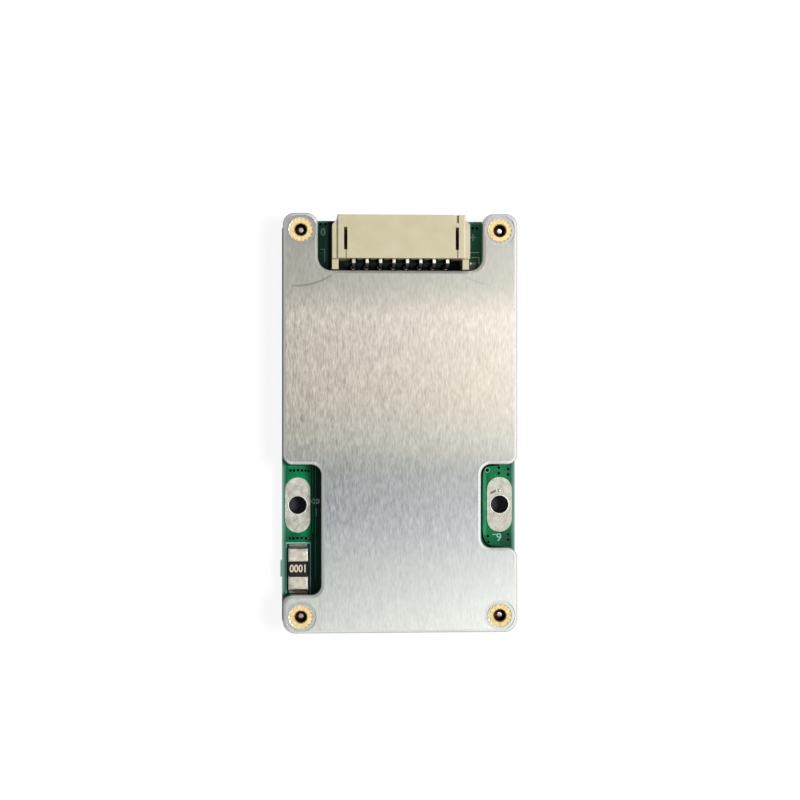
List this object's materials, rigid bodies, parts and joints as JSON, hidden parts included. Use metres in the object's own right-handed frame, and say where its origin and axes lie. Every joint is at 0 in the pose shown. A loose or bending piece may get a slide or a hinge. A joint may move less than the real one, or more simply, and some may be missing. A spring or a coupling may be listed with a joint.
{
  "type": "battery management board",
  "caption": "Battery management board: aluminium heat plate over a green circuit board, with a cream side-entry wire connector and a slotted power pad on each side.",
  "frame": {"origin": "centre of the part in plan, in the plane under the four screw heads it lies on", "axes": "+Y to the edge with the wire connector, +Z from the board to the heat plate, +X to the side with the shorter recess"},
  "size_m": [0.0356, 0.0624, 0.0102],
  "materials": {
    "plate_aluminium": "satin, brushed along the length",
    "nut_brass": "turned and knurled",
    "screw_steel": "plain zinc plate",
    "solder_mask": "glossy solder mask over glass laminate",
    "tin": "tinned",
    "cream_nylon": "moulded",
    "black_epoxy": "moulded",
    "silicone": "soft sheet",
    "chip_ceramic": "fired ceramic",
    "resistor_glaze": "glazed"
  },
  "bodies": {
    "root": {"heat_plate": "plate_aluminium", "circuit_board": "solder_mask", "left_power_pad": "tin", "right_power_pad": "tin", "shunt_element": "black_epoxy", "shunt_terminal_upper": "tin", "shunt_terminal_lower": "tin", "shunt_solder": "tin", "connector_housing": "cream_nylon", "connector_pins_upper": "tin", "connector_pins_lower": "tin", "connector_solder": "tin", "heat_pad": "silicone", "gap_chip": "chip_ceramic", "gap_chip_ends": "tin", "monitor_chip": "black_epoxy", "monitor_chip_leads": "tin", "controller_chip": "black_epoxy", "controller_chip_leads": "tin", "bleed_resistors": "resistor_glaze", "bleed_resistor_ends": "tin", "bleed_transistors": "black_epoxy", "bleed_transistor_leads": "tin", "capacitors": "chip_ceramic", "capacitor_ends": "tin", "press_nut_top_left": "nut_brass", "press_nut_top_right": "nut_brass", "press_nut_foot_left": "nut_brass", "press_nut_foot_right": "nut_brass", "screw_top_left": "screw_steel", "screw_top_right": "screw_steel", "screw_foot_left": "screw_steel", "screw_foot_right": "screw_steel", "power_transistor_1_body": "black_epoxy", "power_transistor_2_body": "black_epoxy", "power_transistor_3_body": "black_epoxy", "power_transistor_4_body": "black_epoxy", "power_transistor_5_body": "black_epoxy", "power_transistor_6_body": "black_epoxy", "power_transistor_7_body": "black_epoxy", "power_transistor_8_body": "black_epoxy", "power_transistor_1_leads": "tin", "power_transistor_2_leads": "tin", "power_transistor_3_leads": "tin", "power_transistor_4_leads": "tin", "power_transistor_5_leads": "tin", "power_transistor_6_leads": "tin", "power_transistor_7_leads": "tin", "power_transistor_8_leads": "tin"}
  },
  "joints": []
}
